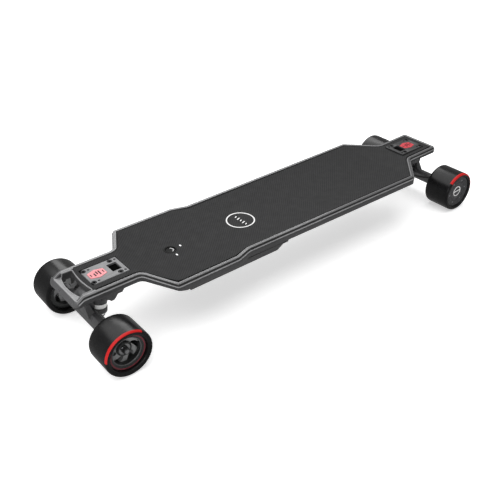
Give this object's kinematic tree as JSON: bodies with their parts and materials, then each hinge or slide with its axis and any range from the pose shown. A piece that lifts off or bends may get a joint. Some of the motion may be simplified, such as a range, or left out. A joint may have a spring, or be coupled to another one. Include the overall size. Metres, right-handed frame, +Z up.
{
  "type": "electric skateboard",
  "caption": "Electric longboard with a dished grip deck, a battery tub underneath, two trucks and hub motors in the rear wheels.",
  "frame": {"origin": "on the floor under the middle of the board's overall box", "axes": "+X to the nose, +Y to the rider's left when facing the nose, +Z up"},
  "size_m": [0.993, 0.292, 0.1269],
  "materials": {
    "deck_shell": "satin",
    "grip_mat": "textured",
    "lower_shell": "satin",
    "handle_liner": "satin",
    "tub": "fine textured",
    "seal": "matte",
    "screw_black": "black oxide",
    "cell_wrap": "shrink wrapped",
    "cell_plate": "moulded",
    "controller": "anodised",
    "circuit_board": "solder mask",
    "contact_metal": "plated",
    "bezel": "gloss",
    "light_lens": "translucent",
    "front_plate": "satin grey coat",
    "rear_plate": "satin dark coat",
    "badge": "gloss",
    "truck_cast": "black coat on casting",
    "cup_rubber": "matte",
    "kingpin_steel": "dark plated",
    "bushing": "cast urethane",
    "washer": "black plated",
    "axle_steel": "ground",
    "tyre": "cast urethane, glossy",
    "wheel_core": "moulded",
    "bearing": "ground",
    "motor_can": "anodised",
    "motor_cover": "textured black",
    "magnet": "nickel plated",
    "stator": "laminated",
    "copper": "enamelled",
    "cable": "matte jacket",
    "button": "gloss",
    "cap": "matte"
  },
  "bodies": {
    "deck": {"deck_shell": "deck_shell", "grip_mat": "grip_mat", "lower_shell": "lower_shell", "nose_handle_liner": "handle_liner", "battery_tub": "tub", "tub_seal": "seal", "tub_screws": "screw_black", "battery_cells": "cell_wrap", "cell_end_plates": "cell_plate", "motor_controller": "controller", "battery_board": "circuit_board", "charge_socket": "contact_metal", "power_button_bezel": "bezel", "status_lights": "light_lens", "front_top_plate": "front_plate", "front_plate_badge": "badge", "front_mounting_bolts": "screw_black", "front_baseplate": "truck_cast", "front_pivot_cup": "cup_rubber", "front_kingpin": "kingpin_steel", "front_bushings": "bushing", "front_bushing_washers": "washer", "rear_top_plate": "rear_plate", "rear_plate_badge": "badge", "rear_mounting_bolts": "screw_black", "rear_baseplate": "truck_cast", "rear_pivot_cup": "cup_rubber", "rear_kingpin": "kingpin_steel", "rear_bushings": "bushing", "rear_bushing_washers": "washer"},
    "front_truck": {"front_hanger": "truck_cast", "front_axle": "axle_steel", "front_axle_spacers": "axle_steel", "front_axle_nuts": "axle_steel"},
    "rear_truck": {"rear_hanger": "truck_cast", "rear_axle": "axle_steel", "rear_left_stator_core": "stator", "rear_left_stator_coils": "copper", "rear_right_stator_core": "stator", "rear_right_stator_coils": "copper", "motor_cables": "cable"},
    "wheel_front_left": {"front_left_tyre": "tyre", "front_left_core": "wheel_core", "front_left_bearings": "bearing"},
    "wheel_front_right": {"front_right_tyre": "tyre", "front_right_core": "wheel_core", "front_right_bearings": "bearing"},
    "wheel_rear_left": {"rear_left_tyre": "tyre", "rear_left_motor_can": "motor_can", "rear_left_motor_cover": "motor_cover", "rear_left_motor_magnets": "magnet", "rear_left_motor_bearings": "bearing"},
    "wheel_rear_right": {"rear_right_tyre": "tyre", "rear_right_motor_can": "motor_can", "rear_right_motor_cover": "motor_cover", "rear_right_motor_magnets": "magnet", "rear_right_motor_bearings": "bearing"},
    "power_button": {"power_button": "button"},
    "charge_cap": {"charge_cap": "cap"}
  },
  "joints": [
    {"name": "front_steer", "type": "hinge", "parent": "deck", "child": "front_truck", "pos_m": [0.458, 0, 0.0855], "axis": [0.6291, 0, 0.7773], "range_deg": [-12, 12], "stiffness_Nm_per_rad": 80, "deforming": ["front_bushings"]},
    {"name": "rear_steer", "type": "hinge", "parent": "deck", "child": "rear_truck", "pos_m": [-0.458, 0, 0.0855], "axis": [-0.6291, 0, 0.7773], "range_deg": [-12, 12], "stiffness_Nm_per_rad": 80, "deforming": ["rear_bushings", "motor_cables"]},
    {"name": "front_left_wheel_spin", "type": "hinge", "parent": "front_truck", "child": "wheel_front_left", "pos_m": [0.45, 0.113, 0.0465], "axis": [0, 1, 0], "continuous": true},
    {"name": "front_right_wheel_spin", "type": "hinge", "parent": "front_truck", "child": "wheel_front_right", "pos_m": [0.45, -0.113, 0.0465], "axis": [0, 1, 0], "continuous": true},
    {"name": "rear_left_wheel_spin", "type": "hinge", "parent": "rear_truck", "child": "wheel_rear_left", "pos_m": [-0.45, 0.113, 0.0465], "axis": [0, 1, 0], "continuous": true},
    {"name": "rear_right_wheel_spin", "type": "hinge", "parent": "rear_truck", "child": "wheel_rear_right", "pos_m": [-0.45, -0.113, 0.0465], "axis": [0, 1, 0], "continuous": true},
    {"name": "power_button_press", "type": "slide", "parent": "deck", "child": "power_button", "axis": [0, 0, -1], "range_m": [0, 0.0012], "stiffness_N_per_m": 400},
    {"name": "charge_cap_swing", "type": "hinge", "parent": "deck", "child": "charge_cap", "pos_m": [0.1234, -0.1069, 0.091], "axis": [0, 0, 1], "range_deg": [0, 100]}
  ]
}
